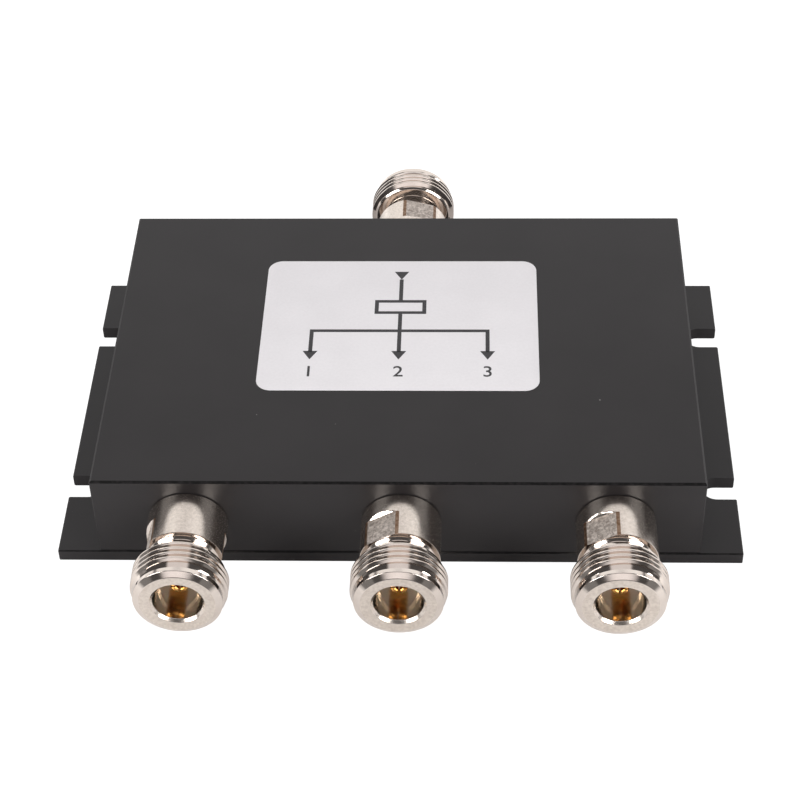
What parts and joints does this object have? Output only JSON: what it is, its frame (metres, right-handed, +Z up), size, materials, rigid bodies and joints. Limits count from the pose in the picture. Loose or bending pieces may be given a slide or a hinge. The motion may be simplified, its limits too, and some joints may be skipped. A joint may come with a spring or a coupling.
{
  "type": "rf power splitter",
  "caption": "Flat black metal box on a slotted flange plate with threaded coaxial jacks on two sides; splits one radio-frequency input between equal outputs.",
  "frame": {"origin": "middle of the base plate's underside", "axes": "+X along the length across the flanges, +Y from the output side to the input side, +Z up out of the label side"},
  "size_m": [0.1156, 0.1076, 0.0191],
  "materials": {
    "black_paint": "satin black paint on aluminium",
    "steel": "zinc plated",
    "label_film": "satin printed film",
    "nickel": "nickel plated brass, turned",
    "ptfe": "white fluoroplastic",
    "gold": "gold plated",
    "board": "glass-fibre board",
    "copper": "bare copper",
    "resistor": "coated chip"
  },
  "bodies": {
    "root": {"housing": "black_paint", "base_plate": "black_paint", "base_plate_screws": "steel", "label": "label_film", "input_jack": "nickel", "input_insulator": "ptfe", "input_contact": "gold", "output_jack_1": "nickel", "output_insulator_1": "ptfe", "output_contact_1": "gold", "output_jack_2": "nickel", "output_insulator_2": "ptfe", "output_contact_2": "gold", "output_jack_3": "nickel", "output_insulator_3": "ptfe", "output_contact_3": "gold", "circuit_board": "board", "microstrip_lines": "copper", "isolation_resistors": "resistor", "board_screws": "steel"}
  },
  "joints": []
}
